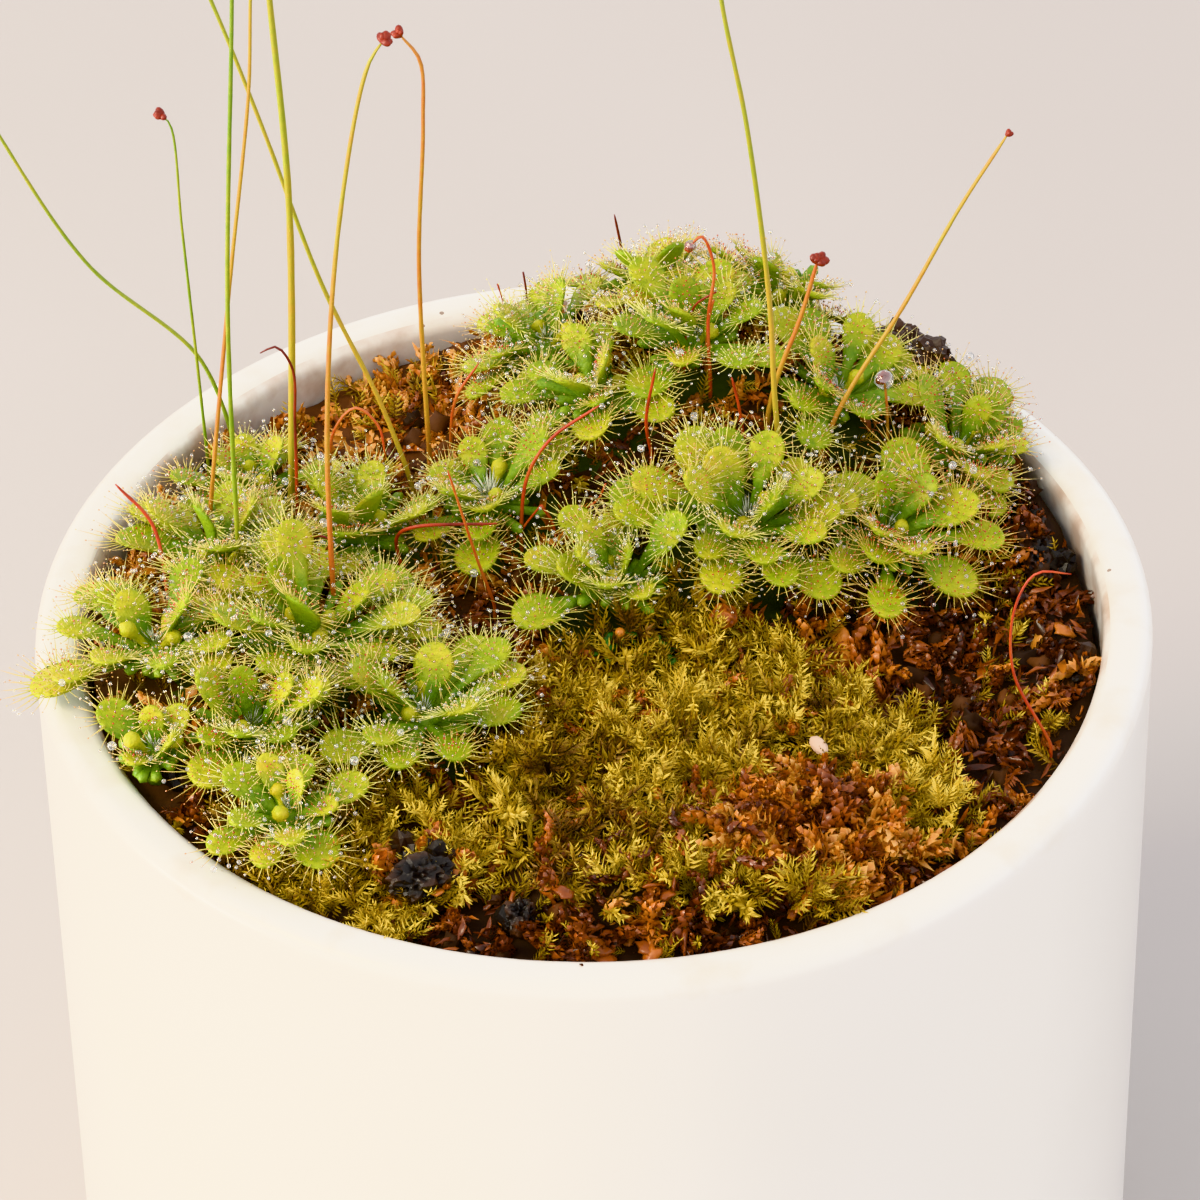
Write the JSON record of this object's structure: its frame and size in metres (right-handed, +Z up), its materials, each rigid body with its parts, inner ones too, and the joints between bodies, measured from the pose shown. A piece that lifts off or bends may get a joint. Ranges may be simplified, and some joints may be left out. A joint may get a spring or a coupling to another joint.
{
  "type": "potted sundew plant",
  "caption": "Sundew colony of sticky-leaved rosettes with slender flower stalks in moss, growing in a straight white glazed pot that stands on its flat base.",
  "frame": {"origin": "centre of the pot's flat base", "axes": "+Z up along the pot's axis towards the plants, +X to the right and +Y to the back as seen from the front, where the moss shows"},
  "size_m": [0.0964, 0.09, 0.1651],
  "materials": {
    "pot_glaze": "satin glaze",
    "medium": "moist and crumbly",
    "moss": "feathery",
    "sphagnum": "papery",
    "charred_bark": "charred",
    "seed": "dull",
    "husk": "dull",
    "leaf": "moist and translucent",
    "scape": "smooth",
    "dead_stalk": "dry"
  },
  "bodies": {
    "root": {"pot": "pot_glaze", "growing_medium": "medium", "moss_cushion": "moss", "moss_patch": "moss", "sphagnum_clump": "sphagnum", "charred_bark_1": "charred_bark", "charred_bark_2": "charred_bark", "charred_bark_3": "charred_bark", "charred_bark_4": "charred_bark", "brown_scale": "seed", "seed_husk": "husk", "rosette_1": "leaf", "rosette_2": "leaf", "rosette_3": "leaf", "rosette_4": "leaf", "rosette_5": "leaf", "rosette_6": "leaf", "rosette_7": "leaf", "rosette_8": "leaf", "rosette_9": "leaf", "rosette_10": "leaf", "rosette_11": "leaf", "rosette_12": "leaf", "rosette_13": "leaf", "rosette_14": "leaf", "rosette_15": "leaf", "rosette_16": "leaf", "rosette_17": "leaf", "rosette_18": "leaf", "rosette_19": "leaf", "rosette_20": "leaf", "scape_1": "scape", "scape_2": "scape", "scape_3": "scape", "scape_4": "scape", "scape_5": "scape", "scape_6": "scape", "scape_7": "scape", "scape_8": "scape", "scape_9": "scape", "scape_10": "scape", "scape_11": "scape", "scape_12": "scape", "scape_13": "scape", "dead_stalk_1": "dead_stalk", "dead_stalk_2": "dead_stalk", "dead_stalk_3": "dead_stalk", "dead_stalk_4": "dead_stalk", "dead_stalk_5": "dead_stalk", "dead_stalk_6": "dead_stalk", "dead_stalk_7": "dead_stalk", "dead_stalk_8": "dead_stalk", "dead_stalk_9": "dead_stalk", "dead_stalk_10": "dead_stalk", "dead_stalk_11": "dead_stalk"}
  },
  "joints": []
}
